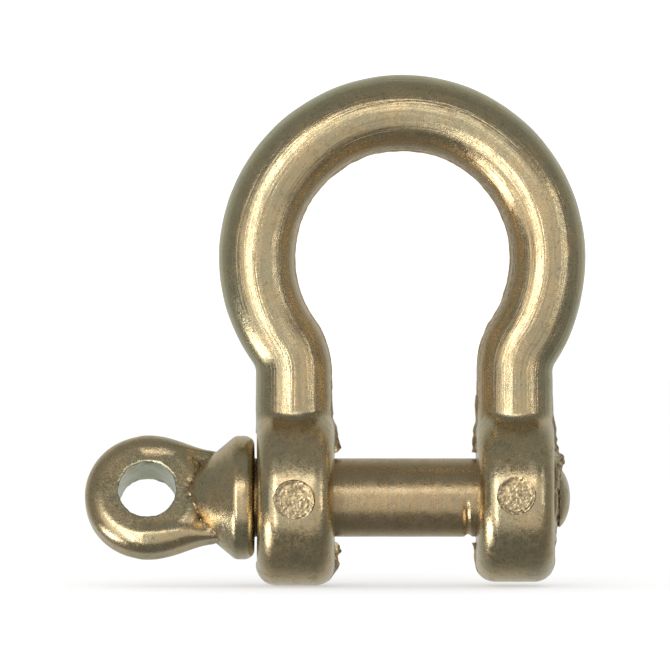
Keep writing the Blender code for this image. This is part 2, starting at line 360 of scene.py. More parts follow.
def bow_line():
    """Stations on the rod's centreline from the left ear's lowest point over the crown to the right.

    The crown is a circle.  Where it meets each reverse bend, the line between their centres
    crosses both, and a straight leg drops from the bend to the ear.  Each station is
    (x, z, outward x, outward z, side), with side -1 on the left and 1 on the right.
    """
    a = np.linspace(np.pi / 2, BEND_ANGLE, 72)
    crown = np.stack([BOW_RADIUS * np.cos(a), BOW_CENTRE_Z + BOW_RADIUS * np.sin(a)], -1)
    crown_out = np.stack([np.cos(a), np.sin(a)], -1)
    a = np.linspace(np.pi + BEND_ANGLE, np.pi, 18)[1:]
    bend = np.stack([BEND_X + REVERSE_BEND * np.cos(a), BEND_Z + REVERSE_BEND * np.sin(a)], -1)
    bend_out = -np.stack([np.cos(a), np.sin(a)], -1)
    leg_z = np.linspace(BEND_Z, PIN_Z + LEG_FOOT, 8)[1:]
    ear_z = np.linspace(PIN_Z + LEG_FOOT, PIN_Z, 52)[1:]
    level = np.concatenate([leg_z, ear_z])
    leg = np.stack([np.full(level.size, EAR_X), level], -1)
    leg_out = np.broadcast_to([1.0, 0.0], leg.shape)
    down = np.sin(np.radians(np.linspace(0, 90, 60)[1:]))
    half = []
    for side in (-1, 1):
        drop = EAR_RADII[side] - EAR_RISE[side]
        foot = np.stack([np.full(down.size, EAR_X), PIN_Z - down * drop], -1)
        places = np.concatenate([crown, bend, leg, foot])
        foot_out = np.broadcast_to([1.0, 0.0], foot.shape)
        outward = np.concatenate([crown_out, bend_out, leg_out, foot_out])
        rows = np.concatenate([places, outward, np.full((len(places), 1), 1.0)], -1)
        half.append(rows * [side, 1, side, 1, side])
    return np.concatenate([half[0][::-1], half[1][1:]])


def rod_place(x, z):
    """How far out from the rod's centreline a point lies in the bow's plane, and how far along it.

    The rod is a crown, a reverse bend and a straight leg on each side.  Out is away from the loop,
    and along is zero level with the crown's centre and grows upwards.
    """
    x = np.abs(x)
    crown = np.hypot(x, z - BOW_CENTRE_Z) - BOW_RADIUS
    crown_along = np.arctan2(z - BOW_CENTRE_Z, x) * BOW_RADIUS
    bend = REVERSE_BEND - np.hypot(x - BEND_X, z - BEND_Z)
    bend_along = BEND_START + REVERSE_BEND * np.arctan2(z - BEND_Z, BEND_X - x)
    in_crown = (z - BOW_CENTRE_Z) * BEND_X > (BEND_Z - BOW_CENTRE_Z) * x
    in_bend = z > BEND_Z
    out = np.where(in_crown, crown, np.where(in_bend, bend, x - EAR_X))
    along = np.where(in_crown, crown_along, np.where(in_bend, bend_along, BEND_START + z - BEND_Z))
    return out, along


def rod_distance(x, y, z):
    """Distance to the round rod."""
    return np.hypot(rod_place(x, z)[0], y) - ROD_RADIUS


def lean(side, z):
    """How far to the left the casting stands off its true place, by side and height."""
    leg = np.where(side < 0, LEG_LEAN, 0.0) * smooth_step((z - PIN_Z - 5.0) / 7.0)
    share = smooth_step((z - PIN_Z - LEG_FOOT) / LEAN_RISE)
    return leg * (1 - share) + CROWN_LEAN * share


def bow_field(side_of):
    """The bow's metal: rod and ears.  The fillet between them is wide in front and behind only."""

    def field(p):
        x, y, z = p[..., 0], p[..., 1], p[..., 2]
        rod = rod_distance(x + lean(side_of, z), y, z)
        rod = np.where(z > PIN_Z, rod, np.hypot(rod + ROD_RADIUS, z - PIN_Z) - ROD_RADIUS)
        ear = np.full(x.shape, 100.0)
        for side in (-1, 1):
            radial = np.hypot(y, z - PIN_Z - EAR_RISE[side])
            half = EAR_HALF - EAR_DRAFT * np.abs(y)
            one = rounded_slab(radial, x - side * EAR_X, EAR_RADII[side], half, EAR_EDGE)
            ear = np.where(side_of == side, one, ear)
        reach = 0.25 + 0.7 * smooth_step((np.abs(y) - 1.0) / 3.5)
        return rounded_min(rod, ear, reach)

    return field


def flash_height(side, inward, z):
    """How proud the parting-line flash stands, in millimetres, by height along each leg.

    It was trimmed on the rod and left as cast round the ears.
    """
    level = z - PIN_Z

    def along_leg(points):
        heights, proud = zip(*points)
        return np.interp(level, heights, proud)

    inner = np.where(side < 0, along_leg(FLASH_LEFT_INSIDE), along_leg(FLASH_RIGHT_INSIDE))
    outer = np.where(side < 0, along_leg(FLASH_LEFT_OUTSIDE), along_leg(FLASH_RIGHT_OUTSIDE))
    trimmed = np.where(inward, TRIMMED_INSIDE, TRIMMED_OUTSIDE)
    return np.where(level > FLASH_TRIMMED_ABOVE, trimmed, np.where(inward, inner, outer))


def hole_burr(side, points):
    """How proud the rough metal stands where the pin's tip comes out of the right ear.

    It is a ring round the hole, higher above the pin than below it.
    """
    level = points[..., 2] - PIN_Z
    ring = smooth_step((BURR_RADIUS - np.hypot(points[..., 1], level)) / 1.1)
    at_face = (side > 0) & (points[..., 0] > OUTER_FACE - 0.6)
    coarse = 1 + 0.35 * noise(points, 0.9, 8) + 0.25 * noise(points, 0.4, 9)
    return np.where(at_face, ring * (0.62 + 0.08 * level) * coarse, 0.0)


def half_widths(side, level):
    """Half the metal's width from front to back at each station.

    Above the pin it is eased by a bell-shaped mean over thirteen stations, so that the rays fan
    out gently where the leg meets the ear.
    """
    ear_radius = np.where(side < 0, EAR_RADII[-1], EAR_RADII[1])
    rise = np.where(side < 0, EAR_RISE[-1], EAR_RISE[1])
    ear_width = np.sqrt(np.maximum(ear_radius**2 - (level - rise) ** 2, 0.0))
    width = np.where(level > 0, np.maximum(ear_width, ROD_RADIUS), np.maximum(ear_width, 0.02))
    ease = np.exp(-0.5 * (np.arange(-6, 7) / 2.5) ** 2)
    eased = np.convolve(np.pad(width, 6, mode="edge"), ease / ease.sum(), mode="valid")
    return np.where(level > 0, eased, width)


def as_cast(radius, points, inward, side):
    """The radius with the mould's waves and dents, the flash on the parting plane and the burr."""
    radius = radius + 0.045 * noise(points, 6.5, 1) + 0.016 * noise(points, 2.2, 2)
    radius = radius + 0.006 * noise(points, 0.9, 3)
    height = flash_height(side, inward, points[..., 2])
    ragged = 0.72 + 0.3 * noise(points, 0.55, 4) + 0.25 * noise(points, 1.3, 5)
    thickness = 0.3 + 0.4 * np.clip(height, 0, 1) + 0.12 * noise(points, 1.1, 6)
    ridge = np.clip(1.15 - np.abs(points[..., 1]) / thickness, 0, 1) ** 0.6
    return radius + np.maximum(height * ridge * ragged, hole_burr(side, points))


def bow_rings():
    """The bow's skin as rings of points, one ring for each station.

    Round a station the rays keep to the plane square to the line.  They are spread as on an
    ellipse as wide as the metal there, and drawn together at the parting plane.
    """
    line = bow_line()
    x, z, out_x, out_z, side = line.T
    width = half_widths(side, z - PIN_Z)
    even = np.linspace(0, 2 * np.pi, BOW_RAYS, endpoint=False)
    turn = even - 0.3 * np.sin(2 * even)
    along = ROD_SPREAD * np.cos(turn)[None, :] * np.ones((line.shape[0], 1))
    aside = width[:, None] * np.sin(turn)[None, :]
    length = np.hypot(along, aside)
    along, aside = along / length, aside / length
    directions = np.stack([along * out_x[:, None], aside, along * out_z[:, None]], -1)
    centres = np.stack([x - lean(side, z), np.zeros_like(x), z], -1)[:, None, :]
    radius = skin(bow_field(side[:, None]), centres, directions, 16.0)
    radius = as_cast(radius, centres + directions * radius[..., None], along < 0, side[:, None])
    points = centres + directions * radius[..., None]

    # the lowest ring of each ear is a seam on the parting plane
    seam = ROD_SPREAD * np.cos(turn) / np.maximum(np.abs(np.sin(turn)), 1e-3)
    seam = np.clip(seam, -EAR_SEAM, EAR_SEAM)
    for row, way in ((0, -1), (-1, 1)):
        points[row, :, 0] = way * (EAR_X + seam)
        points[row, :, 1] = 0.0
        points[row, :, 2] = PIN_Z - EAR_RADII[way] + EAR_RISE[way]
    return points


def thread_radius(x, angle, start_turns):
    """Radius of the screw thread: a sloping-sided groove that climbs one pitch a turn.

    It starts with a shallow scratch of about half a turn and is at full depth soon after a turn and
    a half.  The start can be moved back by some turns, for a hole that is threaded all through.
    """
    phase = (x - THREAD_START - THREAD_RUN_OUT) / THREAD_PITCH - angle / (2 * np.pi) + 0.75
    turn = np.round(phase)
    off = np.abs(phase - turn) * THREAD_PITCH
    progress = turn + angle / (2 * np.pi) - 0.5 + start_turns
    deep = np.interp(progress, [0.0, 0.06, 0.3, 0.7, 1.1, 1.7], [0.0, 0.26, 0.36, 0.0, 0.0, 1.0])
    half_width = 0.5 + 0.12 * deep
    groove = np.clip((half_width - off) / (half_width - 0.1), 0.0, 1.0)
    groove = groove - 0.12 * np.sin(2 * np.pi * groove) / (2 * np.pi)
    return PIN_RADIUS - 0.03 * deep - THREAD_DEPTH * deep * groove


def tap_cutter():
    """The threaded hole: the pin's own thread made wider, countersunk inside, drawn in at its end."""
    x = np.linspace(JAW_FACE - 2.0, OUTER_FACE + 2.5, 180)
    angle = np.linspace(0, 2 * np.pi, 96, endpoint=False)
    grid_x, grid_a = np.meshgrid(x, angle, indexing="ij")
    radius = np.maximum(thread_radius(grid_x, grid_a, 50.0) + CLEARANCE, TAP_MINOR_RADIUS)
    countersink = np.clip(JAW_FACE + 0.75 - grid_x, 0, 0.95)
    radius = np.maximum(radius, TAP_MINOR_RADIUS + 0.03 + countersink)
    radius = np.where(grid_x > OUTER_FACE, TAP_MOUTH_RADIUS, radius)
    rings = np.stack([grid_x, radius * np.cos(grid_a), PIN_Z + radius * np.sin(grid_a)], -1)
    return ring_mesh("tap", capped(rings))


def mark_cutter(side, x, rise, radius, tilt):
    """A shallow round mark: rings on a dished disc, tilted a little and roughened by noise.

    Its floor follows the ear's round rim in part, and its wall slopes outwards past the ear.
    """
    z = PIN_Z + rise
    seed = MARK_SEED + 10 * side
    reach = np.linspace(0.02, 1.0, 36) ** 0.8 * radius
    angle = np.linspace(0, 2 * np.pi, 140, endpoint=False)
    grid_r, grid_a = np.meshgrid(reach, angle, indexing="ij")
    floor = np.stack([x + grid_r * np.cos(grid_a), 0 * grid_r, z + grid_r * np.sin(grid_a)], -1)
    rough = 0.05 * noise(floor, 1.3, seed) + 0.015 * noise(floor, 0.5, seed + 1)
    rough = rough + 0.035 * noise(floor, 0.25, seed + 3)
    round_rim = EAR_RADII[-1] - np.sqrt(EAR_RADII[-1] ** 2 - (floor[..., 2] - z) ** 2)
    rough = rough + 0.35 * round_rim
    rough = rough + tilt * (np.cos(grid_a) + np.sin(grid_a)) * grid_r / radius
    rough = rough - MARK_DISH * smooth_step((grid_r / radius - 0.78) / 0.25)
    ragged = 1 + 0.015 * noise(floor, 0.8, seed + 2)
    floor[..., 0] = x + grid_r * ragged * np.cos(grid_a)
    floor[..., 2] = z + grid_r * ragged * np.sin(grid_a)
    floor[..., 1] = MARK_DEPTH - EAR_RADII[side] + rough
    wall = floor[-1].copy()
    spread = 1 + WALL_SLOPE * WALL_RISE / radius
    wall[:, 1] -= WALL_RISE
    wall[:, 0] = x + (wall[:, 0] - x) * spread
    wall[:, 2] = z + (wall[:, 2] - z) * spread
    return ring_mesh(f"mark_{seed}", capped(np.concatenate([floor, wall[None]])))


def straightened(points):
    """Each point's place in the rod's own frame: out from its centreline, forward and along it."""
    x, y, z = points.T
    out, along = rod_place(x, z)
    return np.stack([out, y, np.where(x < 0, np.pi * BOW_RADIUS - along, along)], -1)


def rubbed_on_bow(points):
    """1 on the rod, which was rubbed along its length, going to 0 on the ears; it also bounds the rod's
    painted reflections.
    """
    return smooth_step((points[:, 2] - PIN_Z - 9.5) / 2.5)


def raw_on_bow(points):
    """Where the casting was left raw: its flash, the burr round the tapped hole and the marks."""
    x, y, z = points.T
    level = z - PIN_Z
    side = np.sign(x)
    proud = np.abs(np.abs(x) - EAR_X) - EAR_HALF
    end = FLASH_TRIMMED_ABOVE - 1.0
    flash = smooth_step((proud - 0.1) / 0.25) * smooth_step((end - level) / 3.0) * (np.abs(y) < 1.6)
    burr = smooth_step((x - OUTER_FACE - 0.12) / 0.2) * (np.hypot(y, level) < BURR_RADIUS + 0.1)
    trimmed = smooth_step((0.5 - ROD_RADIUS - rod_place(x, z)[0]) / 0.4) * (level > end)
    marks = 0 * x
    for way, mark_x, rise, radius, _ in MARKS:
        inside = np.hypot(x - mark_x, level - rise) < radius + 0.05
        sunk = np.hypot(y, level - EAR_RISE[way]) < EAR_RADII[way] - 0.1
        marks = np.where(inside & sunk & (y < -9) & (side == way), 0.75, marks)
    return np.maximum.reduce([flash, burr, 0.8 * trimmed, marks])


def spot_face(name, face, way, radius):
    """A shallow cylinder that faces one side of an ear, way being 1 towards +X and -1 away."""
    return turned(name, [(0, radius), (2.0, radius + 0.1)], (face, 0, PIN_Z), (way, 0, 0))


def plain_hole_cutter():
    """The left ear's hole, countersunk at both ends."""
    hole = PIN_RADIUS + CLEARANCE
    inner, outer = -JAW_FACE, -OUTER_FACE
    profile = [(outer - 2, hole + 2.4), (outer + 0.4, hole), (inner - 0.35, hole), (inner + 2, hole + 2.35)]
    return turned("plain_hole", profile, (0, 0, PIN_Z), (1, 0, 0), sides=144)


def make_bow(material):
    """The cast bow: skin, then the holes, spot faces and marks cut into it."""
    bow = ring_mesh("bow_casting", bow_rings())
    tools = [
        spot_face("jaw_face_left", -JAW_FACE, 1, JAW_SPOT_RADIUS),
        spot_face("jaw_face_right", JAW_FACE, -1, JAW_SPOT_RADIUS),
        spot_face("outer_face_left", -OUTER_FACE, -1, OUTER_SPOT_RADIUS),
        plain_hole_cutter(),
        tap_cutter(),
    ]
    tools += [mark_cutter(*mark) for mark in MARKS]
    cut(bow, tools)
    shares = {"raw": raw_on_bow, "rubbed": rubbed_on_bow, "rod_place": straightened}
    finish_piece(bow, "bow", ["bow"], material, shares)
    return bow


# The pin


def head_radius(x):
    """Radius of the turned head: a cone that runs out into the collar's rim with a small round."""
    return rounded_min(COLLAR_RADIUS + CONE_SLOPE * (x - RIM_X), COLLAR_RADIUS, 0.3)


def eye_axes():
    """The eye's own axis, square to its flat faces, and the upward line in its plane."""
    through = np.array([0.0, -np.cos(EYE_TURN), np.sin(EYE_TURN)])
    up = np.array([0.0, np.sin(EYE_TURN), np.cos(EYE_TURN)])
    return through, up


def head_parts(p):
    """Distances to the head's two shapes: the eye with its web, and the cone.

    The web is a flat tongue in the eye's plane that carries the eye into the cone, and its fillet
    to the eye is wide at its edges only.
    """
    through, up = eye_axes()
    offset = p - np.array([EYE_CENTRE_X, 0.0, PIN_Z])
    depth = offset @ through
    rise = offset @ up
    eye = rounded_slab(np.hypot(offset[..., 0], rise), depth, EYE_RADIUS, EYE_HALF, EYE_EDGE)
    web = rounded_slab(np.abs(rise), depth, WEB_HALF_WIDTH, WEB_HALF, 1.0)
    web = np.maximum(web, EYE_CENTRE_X + 1.0 - p[..., 0])
    cone = (np.hypot(depth, rise) - head_radius(p[..., 0])) * CONE_COSINE
    reach = 0.35 + 2.4 * smooth_step((np.abs(rise) - 3.5) / 2.5)
    return rounded_min(eye, web, reach), cone


def head_field(p):
    """The head's metal: the eye and the cone with a tight fillet between them."""
    eye, cone = head_parts(p)
    return rounded_min(eye, cone, 0.25)


def head_rings(angle):
    """Rings of the eye and the cone, found by rays square to the pin."""
    through, up = eye_axes()
    eye_turn = np.radians(np.linspace(0, 90, 44))
    round_x = EYE_CENTRE_X - EYE_RADIUS * np.cos(eye_turn)
    x = np.concatenate([round_x, np.linspace(EYE_CENTRE_X, HEAD_END, 52)[1:]])
    tall = np.sqrt(np.maximum(EYE_RADIUS**2 - (x - EYE_CENTRE_X) ** 2, 0.0004))
    share = smooth_step((x - EYE_CENTRE_X - 1.5) / 5.0)
    tall = tall * (1 - share) + WEB_HALF_WIDTH * share
    thick = EYE_SPREAD * (1 - share) + WEB_HALF_WIDTH * share
    a = tall[:, None] * np.cos(angle)
    b = thick[:, None] * np.sin(angle)
    length = np.hypot(a, b)
    directions = (a / length)[..., None] * up + (b / length)[..., None] * through
    centres = np.stack([x, 0 * x, 0 * x + PIN_Z], -1)[:, None, :]
    radius = skin(head_field, centres, directions, 13.0)
    points = centres + directions * radius[..., None]
    radius = radius + 0.03 * noise(points, 4.5, 41) + 0.01 * noise(points, 1.8, 42)

    # coarse metal in the crease between the eye and the cone
    eye, cone = head_parts(points)
    crease = np.exp(-((np.abs(eye - cone) / 0.28) ** 2))
    radius = radius + crease * (0.12 * noise(points, 0.9, 44) + 0.10 * noise(points, 0.45, 45) - 0.16)
    rings = centres + directions * radius[..., None]

    # the eye's far end is a seam across its rim
    flat = EYE_HALF - EYE_EDGE
    seam = EYE_SPREAD * np.sin(angle) / np.maximum(np.abs(np.cos(angle)), 1e-3)
    rings[0] = np.array([EYE_END, 0, PIN_Z]) + np.clip(seam, -flat, flat)[:, None] * through
    return rings


def collar_and_shank():
    """The turned part from the cone's end to the thread, as x and radius."""
    places = []
    for away in np.linspace(COLLAR_SEAT - HEAD_END - 0.1, COLLAR_ROUND + 0.05, 14):
        places.append((COLLAR_SEAT - away, head_radius(COLLAR_SEAT - away)))
    for turn in np.radians(np.linspace(88, 8, 12)):
        x = COLLAR_SEAT - COLLAR_ROUND + COLLAR_ROUND * np.cos(turn)
        places.append((x, COLLAR_RADIUS - COLLAR_DROP + COLLAR_DROP * np.sin(turn)))
    for seat_radius in np.linspace(6.5, PIN_RADIUS + 0.25, 6):
        places.append((COLLAR_SEAT, seat_radius))
    places.append((COLLAR_SEAT + 0.06, PIN_RADIUS + 0.05))
    for x in np.linspace(COLLAR_SEAT + 0.25, THREAD_START - THREAD_RUN_OUT, 52):
        places.append((x, PIN_RADIUS))
    return np.array(places).T


def shaft_rings(angle):
    """Rings of the turned part: collar, shank, thread, and the domed tip closed at its middle."""
    through, up = eye_axes()
    turned_x, turned_r = collar_and_shank()
    thread_x = np.linspace(THREAD_START - 0.5, PIN_END - DOME_HEIGHT - 0.05, 166)
    thread_r = PIN_RADIUS - TIP_DEPTH * smooth_step(thread_x - (PIN_END - TIP_LENGTH))
    dome = np.linspace(DOME_ANGLE, 0, 14)
    dome_x = PIN_END - DOME_HEIGHT * (1 - np.cos(dome)) / (1 - np.cos(DOME_ANGLE))
    dome_r = DOME_RADIUS * np.sin(dome) / np.sin(DOME_ANGLE)

    x = np.concatenate([turned_x, thread_x, dome_x])
    radius = np.concatenate([turned_r, thread_r, dome_r])[:, None] * np.ones((1, angle.size))
    round_ = np.cos(angle)[:, None] * up + np.sin(angle)[:, None] * through
    about_x = np.arctan2(round_[:, 2], round_[:, 1]) % (2 * np.pi)
    grid_x, grid_a = np.meshgrid(x, about_x, indexing="ij")
    in_thread = (grid_x > THREAD_START - 0.55) & (grid_x < PIN_END - DOME_HEIGHT)
    radius = np.where(in_thread, np.minimum(radius, thread_radius(grid_x, grid_a, 0.0)), radius)
    rings = np.stack([x, 0 * x, 0 * x + PIN_Z], -1)[:, None, :] + radius[..., None] * round_

    # waves in the cast collar, fainter ones all along, and torn metal at the thread's last turn
    cast = smooth_step((COLLAR_SEAT + 0.1 - grid_x) / 0.2)
    wander = cast * (0.03 * noise(rings, 4.5, 41) + 0.012 * noise(rings, 1.8, 42))
    wander = wander + 0.008 * noise(rings, 2.5, 46)
    tip = np.exp(-(((grid_x - PIN_END + 1.75) / 0.3) ** 2))
    wander = wander + tip * (0.12 * noise(rings, 0.8, 47) + 0.08 * noise(rings, 0.4, 48) - 0.12)
    rings = rings + wander[..., None] * round_
    rings[-1] = [PIN_END, 0, PIN_Z]
    return rings


def pin_rings():
    """The pin's skin as rings from the eye's far end to the tip."""
    angle = np.linspace(0, 2 * np.pi, PIN_RAYS, endpoint=False)
    return np.concatenate([head_rings(angle), shaft_rings(angle)])


def eye_hole_profile(mouth=0.22):
    """The eye's hole along its axis, as (distance from the middle, radius), flared at its mouths."""
    bend = np.radians(np.linspace(0, 62, 8))
    start = EYE_HALF - mouth
    flare = [(start + mouth * np.sin(t), EYE_HOLE + mouth * (1 - np.cos(t))) for t in bend]
    end_along, end_radius = flare[-1]
    flare.append((end_along + 1.2, end_radius + 2.2))
    profile = [(-along, radius) for along, radius in reversed(flare)]
    profile += [(along, EYE_HOLE) for along in np.linspace(-start + 0.3, start - 0.3, 8)]
    return np.array(profile + flare)


def eye_hole_cutter():
    """The hole in the eye: straight inside, rounded and slightly ragged where it opens."""
    through, up = eye_axes()
    profile = eye_hole_profile()
    angle = np.linspace(0, 2 * np.pi, 160, endpoint=False)
    sideways = np.array([1.0, 0.0, 0.0])
    round_ = np.cos(angle)[:, None] * sideways + np.sin(angle)[:, None] * up
    centre = np.array([EYE_CENTRE_X, 0, PIN_Z])
    rings = centre + profile[:, 0, None, None] * through + profile[:, 1, None, None] * round_
    at_mouth = smooth_step((np.abs(profile[:, 0]) - EYE_HALF + 1.2) / 0.8)[:, None]
    ragged = 0.06 * noise(rings, 2.5, 52) + 0.03 * noise(rings, 0.6, 51)
    ragged = ragged + at_mouth * (0.09 * noise(rings, 0.7, 53) + 0.06 * noise(rings, 0.35, 54))
    rings = rings + ragged[..., None] * round_
    return ring_mesh("eye_hole", capped(rings))


def raw_on_pin(points):
    """Where the pin was left raw: the crease between the eye and the cone, and the thread's end."""
    eye, cone = head_parts(points)
    x = points[:, 0]
    crease = np.exp(-(((eye - cone) / 0.35) ** 2)) * (x < RIM_X)
    tip_start = smooth_step((x - PIN_END + TIP_LENGTH) / 0.5)
    tip_end = smooth_step((PIN_END - DOME_HEIGHT + 0.1 - x) / 0.2)
    return np.maximum(crease, tip_start * tip_end)


# Where the painted reflection goes in the eye's hole
def bore_on_pin(points):
    """1 on the wall of the eye's hole."""
    through, up = eye_axes()
    offset = points - np.array([EYE_CENTRE_X, 0.0, PIN_Z])
    away = np.hypot(offset[:, 0], offset @ up)
    return smooth_step((EYE_HOLE + 0.25 - away) / 0.1)


def turned_on_pin(points):
    """1 where the pin was turned bright: from the collar's seat to the thread's last turn."""
    x = points[:, 0]
    return smooth_step((x - COLLAR_SEAT + 0.1) / 0.2) * smooth_step((PIN_END - DOME_HEIGHT - x) / 0.2)


def make_pin(material):
    """The screw pin: one skin with the hole cut through its eye."""
    pin = ring_mesh("screw_pin", pin_rings())
    cut(pin, [eye_hole_cutter()])
    shares = {"raw": raw_on_pin, "bore": bore_on_pin, "turned": turned_on_pin}
    nodes = ["pin_head", "pin_shank", "pin_thread"]
    finish_piece(pin, "screw", nodes, material, shares)
    return pin


# Finishes, with some painted reflections

GOLD = (0.60, 0.465, 0.27)
OLIVE = (0.50, 0.43, 0.27)
BROWN = (0.30, 0.235, 0.145)
UMBER = (0.20, 0.155, 0.10)
# painted reflection: the bow's own bronze mirrored on the inside of its rod
COPPER_REFLECTION = (0.60, 0.42, 0.23)
# partly patina, partly a painted reflection of the pale room on the rod's outer edges
GREEN_PATINA_AND_REFLECTION = (0.46, 0.45, 0.29)
TURNED_DARK = (0.38, 0.30, 0.19)
TURNED_LIGHT = (0.46, 0.325, 0.175)
# painted reflection of the pale room on the wall of the eye's hole
BORE_REFLECTION_GREY = (0.47, 0.53, 0.42)


class Finish:
    """A material under construction: short calls that add and wire its nodes."""

    def __init__(self, name):
        self.material = bpy.data.materials.new(name)
        self.material.use_nodes = True
        self.tree = self.material.node_tree
        self.shader = self.tree.nodes["Principled BSDF"]
        self.place = self.tree.nodes.new("ShaderNodeTexCoord").outputs["Object"]

    def put(self, socket, value):
        """Wire a socket to another, or give it a plain value."""
        if isinstance(value, bpy.types.NodeSocket):
            self.tree.links.new(value, socket)
        else:
            socket.default_value = value

    def noise(self, scale, detail=3.0, roughness=0.55, distortion=0.0, vector=None):
        """Soft noise from 0 to 1, with the given number of cells in a metre."""
        node = self.tree.nodes.new("ShaderNodeTexNoise")
        self.put(node.inputs["Vector"], vector or self.place)
        node.inputs["Scale"].default_value = scale
        node.inputs["Detail"].default_value = detail
        node.inputs["Roughness"].default_value = roughness
        node.inputs["Distortion"].default_value = distortion
        return node.outputs["Fac"]

    def stretched(self, x, y, z, place=None):
        """Coordinates scaled along each axis, for marks that run one way."""
        node = self.tree.nodes.new("ShaderNodeMapping")
        self.put(node.inputs["Vector"], place or self.place)
        node.inputs["Scale"].default_value = (x, y, z)
        return node.outputs["Vector"]

    def stored(self, name, kind="Fac"):
        """A number stored on the piece's points, or a vector."""
        node = self.tree.nodes.new("ShaderNodeAttribute")
        node.attribute_name = name
        return node.outputs[kind]

    def span(self, value, low, high, to_low=0.0, to_high=1.0):
        """Carry a value from one range to another, eased and clipped at its ends."""
        node = self.tree.nodes.new("ShaderNodeMapRange")
        node.interpolation_type = "SMOOTHSTEP"
        self.put(node.inputs["Value"], value)
        numbers = {"From Min": low, "From Max": high, "To Min": to_low, "To Max": to_high}
        for socket, number in numbers.items():
            node.inputs[socket].default_value = number
        return node.outputs["Result"]

    def maths(self, operation, a, b):
        """One sum of two numbers or sockets."""
        node = self.tree.nodes.new("ShaderNodeMath")
        node.operation = operation
        self.put(node.inputs[0], a)
        self.put(node.inputs[1], b)
        return node.outputs[0]

    def mix(self, share, a, b):
        """Colour a going over to colour b."""
        node = self.tree.nodes.new("ShaderNodeMix")
        node.data_type = "RGBA"
        self.put(node.inputs[0], share)
        self.put(node.inputs[6], a if isinstance(a, bpy.types.NodeSocket) else (*a, 1.0))
        self.put(node.inputs[7], b if isinstance(b, bpy.types.NodeSocket) else (*b, 1.0))
        return node.outputs[2]

    def bump(self, height, strength, distance_mm, normal=None):
        """The surface's normal, tilted by a height as if it were that far in relief."""
        node = self.tree.nodes.new("ShaderNodeBump")
        self.put(node.inputs["Height"], height)
        self.put(node.inputs["Strength"], strength)
        node.inputs["Distance"].default_value = distance_mm * MM
        if normal:
            self.put(node.inputs["Normal"], normal)
        return node.outputs["Normal"]


def bronze_colour(f, raw, clouds, specks):
    """Gold going to olive in blotches, browned in clouds and specks, dark in hollows, pale on edges."""
    relief = f.stored("relief")
    blotches = f.noise(210.0, detail=5.0, roughness=0.62)
    colour = f.mix(f.span(blotches, 0.38, 0.62), GOLD, OLIVE)
    colour = f.mix(f.span(clouds, 0.52, 0.70, 0.0, 0.5), colour, BROWN)
    colour = f.mix(f.span(specks, 0.58, 0.70, 0.0, 0.7), colour, BROWN)
    colour = f.mix(f.span(relief, -0.03, -0.19, 0.0, 0.85), colour, UMBER)
    colour = f.mix(f.span(relief, 0.05, 0.22, 0.0, 0.8), colour, GOLD)
    raw_colour = f.mix(f.span(specks, 0.40, 0.60), GOLD, UMBER)
    return f.mix(f.maths("MULTIPLY", raw, 0.85), colour, raw_colour)


def turned_lines_and_bore_reflection(f, colour, roughness):
    """The pin's own finish of fine tool lines round the shank, and a painted grey-green reflection of the
    pale room on the wall of the eye's hole.
    """
    turned_share = f.stored("turned")
    lines = f.noise(1.0, detail=2.0, vector=f.stretched(6000.0, 260.0, 260.0))
    turned_colour = f.mix(f.span(lines, 0.35, 0.65), TURNED_DARK, TURNED_LIGHT)
    colour = f.mix(f.maths("MULTIPLY", turned_share, 0.8), colour, turned_colour)
    # Painted reflection: the hole's wall turned pale grey-green, as if it mirrored the white room behind
    colour = f.mix(f.maths("MULTIPLY", f.stored("bore"), 0.6), colour, BORE_REFLECTION_GREY)
    roughness = f.maths("ADD", roughness, f.maths("MULTIPLY", turned_share, 0.05))
    return colour, roughness


def rod_streaks_and_painted_reflections(f, colour, roughness, normal):
    """Streaks along the rod, a painted copper reflection inside the bow, and a greener outside, part patina
    and part painted reflection.
    """
    place = f.stored("rod_place", "Vector")
    rubbed = f.stored("rubbed")
    split = f.tree.nodes.new("ShaderNodeSeparateXYZ")
    f.put(split.inputs[0], place)
    out = split.outputs[0]
    along_rod = f.stretched(1.7, 1.7, 0.055, place)
    streaks = f.noise(1.0, detail=3.0, roughness=0.6, vector=along_rod)
    normal = f.bump(streaks, rubbed, 0.08, normal)
    roughness = f.maths("ADD", roughness, f.span(streaks, 0.35, 0.65, -0.04, 0.05))
    dark_streaks = f.maths("MULTIPLY", rubbed, f.span(streaks, 0.48, 0.66, 0.0, 0.45))
    colour = f.mix(dark_streaks, colour, BROWN)
    # Painted reflection: copper streaks on the inside of the bow, as if it mirrored its own bronze
    inner = f.maths("MULTIPLY", rubbed, f.span(out, -0.8, -3.0))
    copper_reflection_streaks = f.maths("MULTIPLY", inner, f.span(streaks, 0.56, 0.42, 0.1, 0.55))
    colour = f.mix(copper_reflection_streaks, colour, COPPER_REFLECTION)
    # Greener towards the rod's outer side: partly patina, partly a painted reflection of the pale room at
    # its outer edges
    outer = f.maths("MULTIPLY", rubbed, f.span(out, 2.2, 4.4, 0.0, 0.55))
    return f.mix(outer, colour, GREEN_PATINA_AND_REFLECTION), roughness, normal


